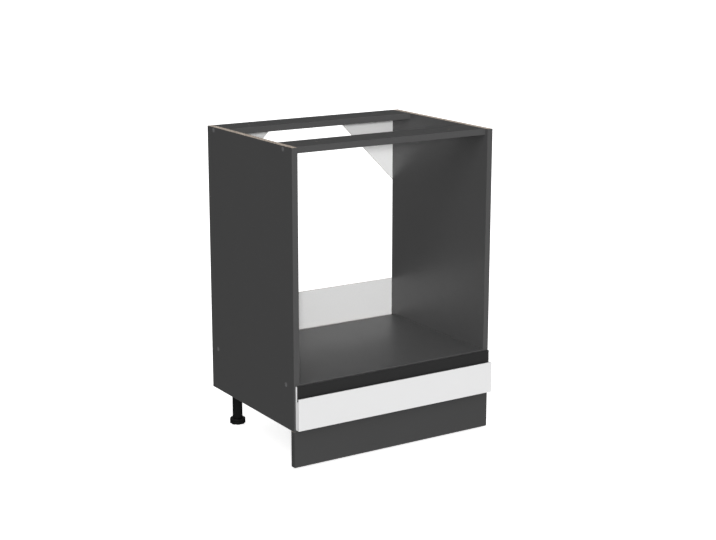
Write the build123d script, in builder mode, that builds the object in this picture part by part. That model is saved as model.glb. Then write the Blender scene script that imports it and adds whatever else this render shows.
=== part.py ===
"""Oven housing unit: a floor-standing kitchen cabinet with an open niche for a built-in oven,
a low drawer under the niche, a clip-on plinth board and four adjustable legs.

X runs across the width, Y from the front (negative) to the back, Z up from the floor.
The origin is on the floor, under the middle of the overall box. All sizes are in millimetres."""

import os

from build123d import *

# Carcass boards
unit_width = 600.0
carcass_depth = 442.0
board = 16.0
edging = 0.8
edging_round = 0.5
hardboard = 3.0
leg_height = 100.0

# Rails, shelf and back
rail_width = 88.0
rail_recess = 10.0
niche_height = 578.0
drawer_space = 90.0
shelf_back_gap = 15.0
strip_height = 225.0
back_inset = 2.0
gusset_leg = 210.0

# Connecting screws, caps, dowels and cam locks
cap_radius = 6.0
cap_thickness = 1.2
cap_peg_length = 2.4
screw_head_radius = 5.0
screw_head_height = 3.0
screw_shank_radius = 3.5
screw_thread_radius = 2.6
screw_length = 50.0
socket_radius = 2.1
socket_depth = 2.6
rail_screw_edge = 34.0
shelf_screw_front = 40.0
shelf_screw_back = 20.0
dowel_radius = 4.0
dowel_length = 30.0
dowel_in_side = 10.0
dowel_chamfer = 1.0
hole_spacing = 32.0
cam_radius = 7.5
cam_height = 12.5
cam_inset = 34.0
cam_edge = 110.0
cam_bolt_radius = 3.0
cam_bolt_root = 10.0
cam_slot_width = 2.0
cam_slot_depth = 2.0
cam_bolt_end = 1.0
nail_radius = 0.8
nail_head_radius = 1.8
nail_head_height = 0.6
nail_length = 18.0
nail_edge = 20.0
floor_nails = 4
gusset_nails = 2
seat_clearance = 0.05

# Worktop screw holes in the rails
worktop_hole_radius = 2.25
worktop_hole_spacing = 400.0

# Legs
leg_inset = 48.0
socket_flange_edge = 4.0
socket_flange_thickness = 3.0
socket_collar_wall = 3.45
socket_collar_height = 14.0
socket_screw_gap = 4.0
socket_screws = 4
socket_screw_angle = 45.0
socket_screw_radius = 1.8
socket_screw_head_radius = 3.5
socket_screw_head_height = 1.5
socket_screw_length = 15.0
tube_radius = 13.5
tube_wall = 2.5
tube_nut_height = 14.0
stem_radius = 8.0
stem_length = 62.0
stem_chamfer = 1.0
foot_radius = 21.0
foot_height = 15.0
foot_floor = 3.0
foot_lobes = 8
foot_lobe_depth = 2.0
foot_scallop_radius = 5.0
foot_chamfer = 1.5
foot_waist = 1.0
foot_waist_inset = 2.5
foot_gap = 0.3
running_clearance = 0.05

# Plinth board and its clips
plinth_floor_gap = 5.0
plinth_top_gap = 0.5
clip_width = 44.0
clip_height = 22.0
clip_plate = 3.0
clip_arm = 3.0
clip_reach = 8.0
clip_clearance = 0.3
clip_screw_radius = 1.6
clip_screw_head_radius = 3.2
clip_screw_head_height = 1.4
clip_screw_length = 11.0
clip_screw_spacing = 11.0

# Drawer front with its grip
front_side_gap = 1.5
front_bottom_gap = 7.5
front_top_gap = 1.5
front_thickness = 16.0
front_gap = 5.0
front_round = 1.0
grip_height = 30.0
grip_web = 3.0
grip_lip = 3.5
grip_groove_depth = 9.0
grip_lining = 1.0
grip_end_inset = 2.6
bumper_radius = 4.0
bumper_gap = 0.3
bumper_edge = 12.0
bumper_spacing = 60.0
bumper_rows = 2

# Drawer box
drawer_back_gap = 47.0
drawer_top_gap = 14.0
drawer_side_gap = 12.5
drawer_floor_gap = 12.0
groove_height = 10.0
groove_depth = 6.0
groove_clearance = 0.1
drawer_screw_low = 32.0
drawer_screw_top = 10.0
drawer_cam_radius = 5.0
drawer_cam_height = 9.5
drawer_cam_low = 20.0
drawer_cam_top = 5.5

# Roller runners
steel = 1.2
runner_setback = 2.0
runner_flange_gap = 1.7
roller_radius = 10.0
roller_side_gap = 1.45
roller_chamfer = 0.5
roller_pin_radius = 3.0
roller_pin_head_radius = 4.5
roller_pin_head = 0.7
roller_play = 0.3
roller_lift = 0.6
runner_play = 0.8
roller_setback = 14.0
roller_web_gap = 1.9
drawer_runner_rise = 2.0
drawer_runner_foot = 13.0
drawer_runner_stop = 9.0
runner_screw_radius = 3.0
runner_screw_head_radius = 4.0
runner_screw_length = 11.0
runner_screw_edge = 50.0
runner_screw_rows = 3
foot_screw_radius = 1.5
foot_screw_head_radius = 3.4
foot_screw_head_height = 1.2
foot_screw_length = 13.0

# Places that follow from the sizes above
half_width = unit_width / 2
inner_x = half_width - board
total_depth = front_thickness + front_gap + carcass_depth + hardboard
carcass_front = front_thickness + front_gap - total_depth / 2
carcass_back = carcass_front + carcass_depth
carcass_bottom = leg_height
floor_top = carcass_bottom + board
shelf_bottom = floor_top + drawer_space
shelf_top = shelf_bottom + board
rail_bottom = shelf_top + niche_height
carcass_top = rail_bottom + board
shelf_back = carcass_back - shelf_back_gap
front_rail_y = carcass_front + rail_recess
rear_rail_y = carcass_back - rail_width

front_back_y = carcass_front - front_gap
front_face_y = front_back_y - front_thickness
front_bottom = carcass_bottom + front_bottom_gap
front_top = shelf_top - front_top_gap
lip_top = front_top - grip_height
groove_floor = lip_top - grip_groove_depth
front_half_width = half_width - front_side_gap

drawer_bottom_z = floor_top + drawer_floor_gap
drawer_outer_x = inner_x - drawer_side_gap
drawer_inner_x = drawer_outer_x - board
drawer_back_y = carcass_back - drawer_back_gap
drawer_top_z = shelf_bottom - drawer_top_gap
drawer_panel_z = drawer_bottom_z + groove_height

leg_rows = (carcass_front + leg_inset, carcass_back - leg_inset)
leg_x = half_width - leg_inset
leg_places = {
    "front_left": (-leg_x, leg_rows[0]),
    "front_right": (leg_x, leg_rows[0]),
    "rear_left": (-leg_x, leg_rows[1]),
    "rear_right": (leg_x, leg_rows[1]),
}
leg_points = list(leg_places.values())
flange_z = carcass_bottom - socket_flange_thickness
socket_bore_radius = tube_radius + seat_clearance
socket_collar_radius = socket_bore_radius + socket_collar_wall
socket_screw_circle = socket_collar_radius + socket_screw_gap + socket_screw_head_radius
socket_flange_radius = socket_screw_circle + socket_screw_head_radius + socket_flange_edge
sides = {"left": -1, "right": 1}


def discs(plane, points, radius):
    """Round outlines of one radius at points of a plane."""
    with BuildSketch(plane) as outline:
        with Locations(*points):
            Circle(radius)
    return outline.sketch


def rods(plane, points, radius, length, mode=Mode.ADD):
    """Round rods, or round holes, that start on a plane."""
    extrude(discs(plane, points, radius), amount=length, mode=mode)


def block(x_span, y_span, z_span, mode=Mode.ADD):
    """A rectangular block, or a rectangular cut, between two corners."""
    with BuildSketch(Plane.XY.offset(z_span[0])) as outline:
        with Locations((sum(x_span) / 2, sum(y_span) / 2)):
            Rectangle(abs(x_span[1] - x_span[0]), abs(y_span[1] - y_span[0]))
    extrude(outline.sketch, amount=z_span[1] - z_span[0], mode=mode)


def save(piece, name):
    """Label a finished piece and write it under its own name."""
    piece.part.label = name
    export_step(piece.part, f"parts/{name}.step")


os.makedirs("parts", exist_ok=True)

# Fastener rows on the side panels, as points in Y and Z
rail_z = carcass_top - board / 2
shelf_z = shelf_top - board / 2
floor_z = carcass_bottom + board / 2
rail_screw_points = [
    (front_rail_y + rail_screw_edge, rail_z),
    (carcass_back - rail_screw_edge, rail_z),
]
shelf_screw_points = [
    (carcass_front + shelf_screw_front, shelf_z),
    (shelf_back - shelf_screw_back, shelf_z),
]
side_screw_points = rail_screw_points + shelf_screw_points
cam_points = [
    (carcass_front + cam_edge, floor_z),
    (carcass_back - cam_edge, floor_z),
]


def dowels_between(points):
    """A dowel one hole spacing inwards of each of the two fasteners of a row."""
    (front_y, z), (back_y, z) = points
    return [(front_y + hole_spacing, z), (back_y - hole_spacing, z)]


rail_dowel_points = dowels_between(rail_screw_points)
shelf_dowel_points = dowels_between(shelf_screw_points)
floor_dowel_points = dowels_between(cam_points)
side_dowel_points = rail_dowel_points + shelf_dowel_points + floor_dowel_points

# Heights inside the runners: the drawer's roller rolls on the channel floor, and the drawer's
# running flange rests on the cabinet's roller
channel_floor = drawer_bottom_z + drawer_runner_rise
cabinet_roller_z = channel_floor + roller_lift + roller_radius
running_flange_z = cabinet_roller_z + roller_radius + roller_play
channel_ceiling = running_flange_z + steel + runner_play
drawer_roller_radius = (channel_ceiling - channel_floor - roller_play - runner_play) / 2
drawer_roller_z = channel_floor + roller_play + drawer_roller_radius
runner_front = carcass_front + runner_setback
runner_length = drawer_back_y - front_back_y
cabinet_roller_y = runner_front + roller_setback
drawer_roller_y = drawer_back_y - roller_setback
roller_near_x = steel + roller_web_gap
web_inset = drawer_side_gap - steel
roller_width = web_inset - roller_side_gap - roller_pin_head - seat_clearance - roller_near_x
runner_screw_z = (channel_floor + channel_ceiling) / 2
runner_screw_step = (runner_length - 2 * runner_screw_edge) / (runner_screw_rows - 1)
runner_screw_places = [
    runner_front + runner_screw_edge + runner_screw_step * row for row in range(runner_screw_rows)
]
runner_points = [(y, runner_screw_z) for y in runner_screw_places]
foot_screw_points = [
    (side * (drawer_outer_x - board / 2), y) for side in sides.values() for y in runner_screw_places
]


def on_side(points, side):
    """Those of a list of points whose X lies on one side of the middle."""
    return [point for point in points if point[0] * side > 0]


def cut_screw_seats(x_outer, direction, points, with_cap):
    """Stepped holes through a board for connecting screws, with a seat for a cover cap."""
    sunk = cap_thickness if with_cap else 0.0
    outer = Plane.YZ.offset(x_outer)
    if with_cap:
        rods(outer, points, cap_radius + seat_clearance, direction * sunk, Mode.SUBTRACT)
    head_depth = sunk + screw_head_height + seat_clearance
    rods(outer, points, screw_head_radius + seat_clearance, direction * head_depth, Mode.SUBTRACT)
    rods(outer, points, screw_shank_radius + seat_clearance, direction * board, Mode.SUBTRACT)


def add_screws(x_outer, direction, points, sunk):
    """Connecting screws driven along X: a head with a hexagon socket, a shank and a thread."""
    head_x = x_outer + direction * sunk
    shank_x = head_x + direction * screw_head_height
    thread_x = x_outer + direction * board
    tip_x = head_x + direction * screw_length
    rods(Plane.YZ.offset(head_x), points, screw_head_radius, direction * screw_head_height)
    rods(Plane.YZ.offset(shank_x), points, screw_shank_radius, thread_x - shank_x)
    rods(Plane.YZ.offset(thread_x), points, screw_thread_radius, tip_x - thread_x)
    with BuildSketch(Plane.YZ.offset(head_x)) as sockets:
        with Locations(*points):
            RegularPolygon(socket_radius, 6, major_radius=False)
    extrude(sockets.sketch, amount=direction * socket_depth, mode=Mode.SUBTRACT)


def cut_end_holes(x_end, points, radius, depth):
    """Round holes along X in both ends of a board that lies between the sides."""
    for side in sides.values():
        rods(Plane.YZ.offset(side * x_end), points, radius, -side * depth, Mode.SUBTRACT)


def cut_dowel_holes(points):
    """Dowel holes in both ends of a carcass board that lies between the sides."""
    cut_end_holes(inner_x, points, dowel_radius + seat_clearance,
                  dowel_length - dowel_in_side + seat_clearance)


def cut_thread_holes(x_end, points, sunk):
    """Holes for the threads of connecting screws in both ends of a board."""
    cut_end_holes(x_end, points, screw_thread_radius + seat_clearance,
                  screw_length + sunk - board + seat_clearance)


# Nails of the back strip and the corner plates, as points in X and Z
strip_bottom = carcass_bottom + back_inset
strip_top = strip_bottom + strip_height
strip_half_width = half_width - back_inset
side_nail_x = half_width - board / 2
strip_side_nails = [
    (side * side_nail_x, z)
    for side in sides.values()
    for z in (strip_top - nail_edge, (strip_top + strip_bottom) / 2)
]
floor_nail_end = side_nail_x - nail_edge
floor_nail_step = 2 * floor_nail_end / (floor_nails - 1)
strip_floor_nails = [(floor_nail_step * place - floor_nail_end, floor_z) for place in range(floor_nails)]
gusset_corner_z = carcass_top - back_inset
gusset_nail_offsets = [gusset_leg * place / (gusset_nails + 1) for place in range(1, gusset_nails + 1)]
gusset_side_nails = [
    (side * side_nail_x, gusset_corner_z - offset)
    for side in sides.values()
    for offset in gusset_nail_offsets
]
gusset_rail_nails = [
    (side * (strip_half_width - offset), rail_z)
    for side in sides.values()
    for offset in gusset_nail_offsets
]
back_nail_points = strip_side_nails + strip_floor_nails + gusset_side_nails + gusset_rail_nails


def cut_nail_shanks(points):
    """Holes for the nails in the rear edges of the boards."""
    rods(Plane.XZ.offset(-carcass_back), points, nail_radius + seat_clearance,
         nail_length - hardboard + seat_clearance, Mode.SUBTRACT)


def socket_screw_outline(z, radius):
    """Round outlines at the screws of all four leg sockets, at one height."""
    with BuildSketch(Plane.XY.offset(z)) as outline:
        with Locations(*leg_points):
            with PolarLocations(socket_screw_circle, socket_screws, start_angle=socket_screw_angle):
                Circle(radius)
    return outline.sketch


# Side panels
for name, side in sides.items():
    with BuildPart() as side_panel:
        block(
            (side * inner_x, side * half_width),
            (carcass_front + edging, carcass_back),
            (carcass_bottom, carcass_top),
        )
        cut_screw_seats(side * half_width, -side, side_screw_points, with_cap=True)
        inner = Plane.YZ.offset(side * inner_x)
        dowel_depth = side * (dowel_in_side + seat_clearance)
        rods(inner, side_dowel_points, dowel_radius + seat_clearance, dowel_depth, Mode.SUBTRACT)
        bolt_depth = side * (cam_bolt_root + seat_clearance)
        rods(inner, cam_points, cam_bolt_radius + seat_clearance, bolt_depth, Mode.SUBTRACT)
        runner_depth = side * (runner_screw_length + seat_clearance)
        rods(inner, runner_points, runner_screw_radius + seat_clearance, runner_depth, Mode.SUBTRACT)
        cut_nail_shanks(on_side(strip_side_nails + gusset_side_nails, side))
    save(side_panel, f"{name}_side_panel")

# Bottom panel, with the pockets of its cam locks on the underside
cam_lock_points = [(side * (inner_x - cam_inset), y) for side in sides.values() for y, z in cam_points]
with BuildPart() as bottom_panel:
    block(
        (-inner_x, inner_x),
        (carcass_front + edging, carcass_back),
        (carcass_bottom, floor_top),
    )
    cut_dowel_holes(floor_dowel_points)
    cut_end_holes(inner_x, cam_points, cam_bolt_radius + seat_clearance, cam_inset)
    rods(Plane.XY.offset(carcass_bottom), cam_lock_points, cam_radius + seat_clearance,
         cam_height + seat_clearance, Mode.SUBTRACT)
    cut_nail_shanks(strip_floor_nails)
    extrude(
        socket_screw_outline(carcass_bottom, socket_screw_radius + seat_clearance),
        amount=socket_screw_length - socket_flange_thickness + seat_clearance,
        mode=Mode.SUBTRACT,
    )
save(bottom_panel, "bottom_panel")

# Shelf that carries the oven
with BuildPart() as oven_shelf:
    block(
        (-inner_x, inner_x),
        (carcass_front + edging, shelf_back),
        (shelf_bottom, shelf_top),
    )
    cut_dowel_holes(shelf_dowel_points)
    cut_thread_holes(inner_x, shelf_screw_points, cap_thickness)
save(oven_shelf, "oven_shelf")

# Top rails, laid flat, with holes for the worktop screws
rail_fronts = {"front": front_rail_y, "rear": rear_rail_y}
for index, (name, y) in enumerate(rail_fronts.items()):
    with BuildPart() as rail:
        block((-inner_x, inner_x), (y + edging, y + rail_width), (rail_bottom, carcass_top))
        cut_dowel_holes([rail_dowel_points[index]])
        cut_thread_holes(inner_x, [rail_screw_points[index]], cap_thickness)
        with Locations(Plane.XY.offset(carcass_top)):
            with GridLocations(worktop_hole_spacing, 0, 2, 1):
                with Locations((0, y + rail_width / 2)):
                    Hole(worktop_hole_radius, depth=board)
        if name == "rear":
            cut_nail_shanks(gusset_rail_nails)
    save(rail, f"{name}_top_rail")

# Edging strips on the front edges of the boards
with BuildPart() as side_edging:
    for side in sides.values():
        block(
            (side * inner_x, side * half_width),
            (carcass_front, carcass_front + edging),
            (carcass_bottom, carcass_top),
        )
    fillet(side_edging.edges().filter_by(Axis.Z).group_by(Axis.Y)[0], edging_round)
save(side_edging, "side_edging_strips")

with BuildPart() as rail_edging:
    for y in rail_fronts.values():
        block((-inner_x, inner_x), (y, y + edging), (rail_bottom, carcass_top))
    for strip in rail_edging.solids():
        fillet(strip.edges().filter_by(Axis.X).group_by(Axis.Y)[0], edging_round)
save(rail_edging, "rail_edging_strips")

for name, z in {"shelf_edging_strip": shelf_bottom, "bottom_edging_strip": carcass_bottom}.items():
    with BuildPart() as strip:
        block((-inner_x, inner_x), (carcass_front, carcass_front + edging), (z, z + board))
        fillet(strip.edges().filter_by(Axis.X).group_by(Axis.Y)[0], edging_round)
    save(strip, name)


def cut_nail_holes(points):
    """Holes through a thin back board, with the nail heads sunk flush."""
    rear = Plane.XZ.offset(-carcass_back - hardboard)
    rods(rear, points, nail_head_radius + seat_clearance, nail_head_height + seat_clearance, Mode.SUBTRACT)
    rods(rear, points, nail_radius + seat_clearance, hardboard, Mode.SUBTRACT)


# Back strip and corner plates, nailed on the rear edges of the boards
with BuildPart() as back_strip:
    block(
        (-strip_half_width, strip_half_width),
        (carcass_back, carcass_back + hardboard),
        (strip_bottom, strip_top),
    )
    cut_nail_holes(strip_side_nails + strip_floor_nails)
save(back_strip, "back_strip")

for name, side in sides.items():
    corner_x = side * strip_half_width
    with BuildPart() as gusset:
        with BuildSketch(Plane.XZ.offset(-carcass_back)):
            with BuildLine():
                Polyline(
                    (corner_x, gusset_corner_z),
                    (corner_x - side * gusset_leg, gusset_corner_z),
                    (corner_x, gusset_corner_z - gusset_leg),
                    close=True,
                )
            make_face()
        extrude(amount=-hardboard)
        cut_nail_holes(on_side(gusset_side_nails + gusset_rail_nails, side))
    save(gusset, f"{name}_corner_plate")

with BuildPart() as back_nails:
    rear = Plane.XZ.offset(-carcass_back - hardboard)
    rods(rear, back_nail_points, nail_head_radius, nail_head_height)
    rods(rear, back_nail_points, nail_radius, nail_length)
save(back_nails, "back_nails")

# Connecting screws of rails and shelf, with their caps
with BuildPart() as carcass_screws:
    for side in sides.values():
        add_screws(side * half_width, -side, side_screw_points, cap_thickness)
save(carcass_screws, "carcass_screws")

with BuildPart() as screw_caps:
    for side in sides.values():
        outer = Plane.YZ.offset(side * half_width)
        rods(outer, side_screw_points, cap_radius, -side * cap_thickness)
        rods(outer, side_screw_points, socket_radius - seat_clearance, -side * cap_peg_length)
save(screw_caps, "screw_caps")

with BuildPart() as dowels:
    for side in sides.values():
        start = Plane.YZ.offset(side * (inner_x + dowel_in_side))
        rods(start, side_dowel_points, dowel_radius, -side * dowel_length)
    chamfer(dowels.edges().filter_by(GeomType.CIRCLE), length=dowel_chamfer)
save(dowels, "wooden_dowels")


def cut_cam_slots(plane, points, radius, direction):
    """A cross slot in the face of each cam lock."""
    with BuildSketch(plane) as slots:
        with Locations(*points):
            Rectangle(2 * radius - cam_slot_width, cam_slot_width)
            Rectangle(cam_slot_width, 2 * radius - cam_slot_width)
    extrude(slots.sketch, amount=direction * cam_slot_depth, mode=Mode.SUBTRACT)


# Cam locks under the bottom panel: slotted discs, bored for the bolts that stand in the sides
cam_bolt_reach = cam_inset - cam_bolt_end
with BuildPart() as cam_locks:
    rods(Plane.XY.offset(carcass_bottom), cam_lock_points, cam_radius, cam_height)
    cut_cam_slots(Plane.XY.offset(carcass_bottom), cam_lock_points, cam_radius, 1)
    cut_end_holes(inner_x, cam_points, cam_bolt_radius + seat_clearance, cam_inset)
save(cam_locks, "cam_locks")

with BuildPart() as cam_bolts:
    for side in sides.values():
        root = Plane.YZ.offset(side * (inner_x + cam_bolt_root))
        rods(root, cam_points, cam_bolt_radius, -side * (cam_bolt_root + cam_bolt_reach))
save(cam_bolts, "cam_bolts")

# Cabinet halves of the runners: open channels with the screws countersunk in their webs
for name, side in sides.items():
    with BuildPart() as runner:
        for z_span, inset in (
            ((channel_floor - steel, channel_ceiling + steel), steel),
            ((channel_floor - steel, channel_floor), web_inset - runner_flange_gap),
            ((channel_ceiling, channel_ceiling + steel), web_inset - runner_flange_gap),
        ):
            block(
                (side * inner_x, side * (inner_x - inset)),
                (runner_front, runner_front + runner_length),
                z_span,
            )
        web = Plane.YZ.offset(side * inner_x)
        rods(web, runner_points, runner_screw_head_radius + seat_clearance, -side * steel, Mode.SUBTRACT)
        rods(web, [(cabinet_roller_y, cabinet_roller_z)], roller_pin_radius + seat_clearance,
             -side * steel, Mode.SUBTRACT)
    save(runner, f"{name}_cabinet_runner")

with BuildPart() as runner_screws:
    for side in sides.values():
        rods(Plane.YZ.offset(side * inner_x), runner_points, runner_screw_head_radius, -side * steel)
        rods(Plane.YZ.offset(side * inner_x), runner_points, runner_screw_radius,
             side * runner_screw_length)
save(runner_screws, "runner_screws")


def add_roller_pin(x_root, x_end, direction, point):
    """A riveted pin along X with a head beyond the roller."""
    rods(Plane.YZ.offset(x_root), [point], roller_pin_radius, x_end - x_root)
    rods(Plane.YZ.offset(x_end), [point], roller_pin_head_radius, direction * roller_pin_head)


cabinet_point = (cabinet_roller_y, cabinet_roller_z)
drawer_point = (drawer_roller_y, drawer_roller_z)
with BuildPart() as cabinet_pins:
    for side in sides.values():
        head_x = side * (inner_x - roller_near_x - roller_width - seat_clearance)
        add_roller_pin(side * inner_x, head_x, -side, cabinet_point)
save(cabinet_pins, "cabinet_roller_pins")

# Drawer halves of the runners: a foot under the drawer side and a flange that runs on the rollers
flange_end_y = drawer_roller_y - drawer_roller_radius - drawer_runner_stop
for name, side in sides.items():
    with BuildPart() as runner:
        web_span = (drawer_bottom_z - steel, running_flange_z + steel)
        foot_span = (drawer_bottom_z - steel, drawer_bottom_z)
        flange_span = (running_flange_z, running_flange_z + steel)
        for insets, y_end, z_span in (
            ((web_inset, drawer_side_gap), drawer_back_y, web_span),
            ((web_inset, drawer_side_gap + drawer_runner_foot), drawer_back_y, foot_span),
            ((roller_near_x, drawer_side_gap), flange_end_y, flange_span),
        ):
            block(
                (side * (inner_x - insets[0]), side * (inner_x - insets[1])),
                (front_back_y + runner_setback, y_end),
                z_span,
            )
        rods(Plane.YZ.offset(side * (inner_x - web_inset)), [drawer_point],
             roller_pin_radius + seat_clearance, -side * steel, Mode.SUBTRACT)
        rods(Plane.XY.offset(drawer_bottom_z - steel), on_side(foot_screw_points, side),
             foot_screw_radius + seat_clearance, steel, Mode.SUBTRACT)
    save(runner, f"{name}_drawer_runner")

with BuildPart() as drawer_pins:
    for side in sides.values():
        head_x = side * (inner_x - roller_near_x)
        add_roller_pin(side * drawer_outer_x, head_x + side * seat_clearance, side, drawer_point)
save(drawer_pins, "drawer_roller_pins")

# Nylon rollers of both halves, with chamfered rims and a bore for the pin
rollers = {"cabinet": (cabinet_point, roller_radius), "drawer": (drawer_point, drawer_roller_radius)}
for kind, (point, radius) in rollers.items():
    for name, side in sides.items():
        with BuildPart() as roller:
            near = Plane.YZ.offset(side * (inner_x - roller_near_x))
            rods(near, [point], radius, -side * roller_width)
            chamfer(roller.edges().filter_by(GeomType.CIRCLE), length=roller_chamfer)
            rods(near, [point], roller_pin_radius + running_clearance, -side * roller_width, Mode.SUBTRACT)
        save(roller, f"{name}_{kind}_roller")

# Drawer box
panel_z_span = (drawer_panel_z, drawer_panel_z + hardboard)
groove_z_span = (drawer_panel_z - groove_clearance, drawer_panel_z + hardboard + groove_clearance)
back_front_y = drawer_back_y - board
drawer_screw_points = [
    (drawer_back_y - board / 2, drawer_bottom_z + drawer_screw_low),
    (drawer_back_y - board / 2, drawer_top_z - drawer_screw_top),
]
drawer_cam_heights = (drawer_bottom_z + drawer_cam_low, groove_floor - drawer_cam_top)
drawer_cam_points = [(front_back_y + cam_inset, z) for z in drawer_cam_heights]
drawer_bolt_points = [
    (side * (drawer_outer_x - board / 2), z) for side in sides.values() for z in drawer_cam_heights
]
for name, side in sides.items():
    with BuildPart() as drawer_side:
        block(
            (side * drawer_outer_x, side * drawer_inner_x),
            (front_back_y, drawer_back_y),
            (drawer_bottom_z, drawer_top_z),
        )
        block(
            (side * drawer_inner_x, side * (drawer_inner_x + groove_depth)),
            (front_back_y, drawer_back_y),
            groove_z_span,
            Mode.SUBTRACT,
        )
        cut_screw_seats(side * drawer_outer_x, -side, drawer_screw_points, with_cap=False)
        rods(Plane.YZ.offset(side * drawer_inner_x), drawer_cam_points,
             drawer_cam_radius + seat_clearance, side * (drawer_cam_height + seat_clearance), Mode.SUBTRACT)
        rods(Plane.XZ.offset(-front_back_y), on_side(drawer_bolt_points, side),
             cam_bolt_radius + seat_clearance, -cam_inset, Mode.SUBTRACT)
        rods(Plane.XY.offset(drawer_bottom_z), on_side(foot_screw_points, side),
             foot_screw_radius + seat_clearance, foot_screw_length, Mode.SUBTRACT)
    save(drawer_side, f"{name}_drawer_side")

with BuildPart() as drawer_back:
    block(
        (-drawer_inner_x, drawer_inner_x),
        (back_front_y, drawer_back_y),
        (panel_z_span[1], drawer_top_z),
    )
    cut_thread_holes(drawer_inner_x, drawer_screw_points, 0.0)
save(drawer_back, "drawer_back")

with BuildPart() as drawer_bottom:
    reach = groove_depth - groove_clearance
    block(
        (-drawer_inner_x - reach, drawer_inner_x + reach),
        (front_back_y - reach, drawer_back_y),
        panel_z_span,
    )
save(drawer_bottom, "drawer_bottom")

with BuildPart() as drawer_screws:
    for side in sides.values():
        add_screws(side * drawer_outer_x, -side, drawer_screw_points, 0.0)
save(drawer_screws, "drawer_back_screws")

with BuildPart() as drawer_cams:
    for side in sides.values():
        inner = Plane.YZ.offset(side * drawer_inner_x)
        rods(inner, drawer_cam_points, drawer_cam_radius, side * drawer_cam_height)
        cut_cam_slots(inner, drawer_cam_points, drawer_cam_radius, side)
    rods(Plane.XZ.offset(-front_back_y), drawer_bolt_points, cam_bolt_radius + seat_clearance,
         -cam_inset, Mode.SUBTRACT)
save(drawer_cams, "drawer_cam_locks")

with BuildPart() as drawer_bolts:
    root = Plane.XZ.offset(-front_back_y + cam_bolt_root)
    rods(root, drawer_bolt_points, cam_bolt_radius, -cam_bolt_root - cam_bolt_reach)
save(drawer_bolts, "drawer_cam_bolts")

with BuildPart() as foot_screws:
    under = Plane.XY.offset(drawer_bottom_z - steel)
    rods(under, foot_screw_points, foot_screw_head_radius, -foot_screw_head_height)
    rods(under, foot_screw_points, foot_screw_radius, foot_screw_length)
save(foot_screws, "drawer_runner_screws")

# Drawer front: a full-thickness panel with a milled grip, a thin web behind it and a lip in front
web_front_y = front_back_y - grip_web
lip_back_y = front_face_y + grip_lip
lining_half_width = front_half_width - grip_end_inset
lining_seat_z = front_top - grip_lining
with BuildPart() as drawer_front:
    with BuildSketch(Plane.YZ.offset(-front_half_width)):
        with BuildLine():
            Polyline(
                (front_back_y, front_bottom),
                (front_back_y, front_top),
                (web_front_y, front_top),
                (web_front_y, groove_floor),
                (lip_back_y, groove_floor),
                (lip_back_y, lip_top),
                (front_face_y, lip_top),
                (front_face_y, front_bottom),
                close=True,
            )
        make_face()
    extrude(amount=2 * front_half_width)
    fillet(drawer_front.faces().sort_by(Axis.Y)[0].edges(), front_round)
    block(
        (-lining_half_width, lining_half_width),
        (web_front_y, front_back_y),
        (lining_seat_z, front_top),
        Mode.SUBTRACT,
    )
    block(
        (-drawer_inner_x - groove_depth, drawer_inner_x + groove_depth),
        (front_back_y - groove_depth, front_back_y),
        groove_z_span,
        Mode.SUBTRACT,
    )
    rods(Plane.XZ.offset(-front_back_y), drawer_bolt_points, cam_bolt_radius + seat_clearance,
         cam_bolt_root + seat_clearance, Mode.SUBTRACT)
save(drawer_front, "drawer_front")

# Lining of the grip: it hooks over the web and covers the bottom and the back of the lip
with BuildPart() as grip_profile:
    with BuildSketch(Plane.YZ.offset(-lining_half_width)):
        with BuildLine():
            Polyline(
                (front_back_y, front_top),
                (web_front_y - grip_lining, front_top),
                (web_front_y - grip_lining, groove_floor + grip_lining),
                (lip_back_y + grip_lining, groove_floor + grip_lining),
                (lip_back_y + grip_lining, lip_top),
                (lip_back_y, lip_top),
                (lip_back_y, groove_floor),
                (web_front_y, groove_floor),
                (web_front_y, lining_seat_z),
                (front_back_y, lining_seat_z),
                close=True,
            )
        make_face()
    extrude(amount=2 * lining_half_width)
save(grip_profile, "grip_lining")

with BuildPart() as bumpers:
    pads = [
        (side * (half_width - board / 2), front_bottom + bumper_edge + bumper_spacing * row)
        for side in sides.values()
        for row in range(bumper_rows)
    ]
    rods(Plane.XZ.offset(-front_back_y), pads, bumper_radius, -(front_gap - bumper_gap))
save(bumpers, "front_bumpers")

# Leg sockets under the bottom panel
with BuildPart() as leg_sockets:
    rods(Plane.XY.offset(flange_z), leg_points, socket_flange_radius, socket_flange_thickness)
    rods(Plane.XY.offset(flange_z), leg_points, socket_collar_radius, -socket_collar_height)
    rods(Plane.XY.offset(flange_z), leg_points, socket_bore_radius, -socket_collar_height, Mode.SUBTRACT)
    extrude(
        socket_screw_outline(flange_z, socket_screw_radius + seat_clearance),
        amount=socket_flange_thickness,
        mode=Mode.SUBTRACT,
    )
save(leg_sockets, "leg_sockets")

with BuildPart() as socket_screw_set:
    extrude(socket_screw_outline(flange_z, socket_screw_head_radius), amount=-socket_screw_head_height)
    extrude(socket_screw_outline(flange_z, socket_screw_radius), amount=socket_screw_length)
save(socket_screw_set, "leg_socket_screws")

# Legs: tube with a threaded lower end, threaded stem and a foot of two lobed rings
tube_bottom = foot_height + foot_gap
stem_bottom = foot_floor + foot_gap
ring_height = (foot_height - foot_waist) / 2
with BuildPart() as foot_ring:
    with BuildSketch(Plane.XY):
        Circle(foot_radius)
        with PolarLocations(foot_radius + foot_scallop_radius - foot_lobe_depth, foot_lobes):
            Circle(foot_scallop_radius, mode=Mode.SUBTRACT)
    extrude(amount=ring_height)
    chamfer(foot_ring.faces().filter_by(Axis.Z).edges(), length=foot_chamfer)

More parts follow.
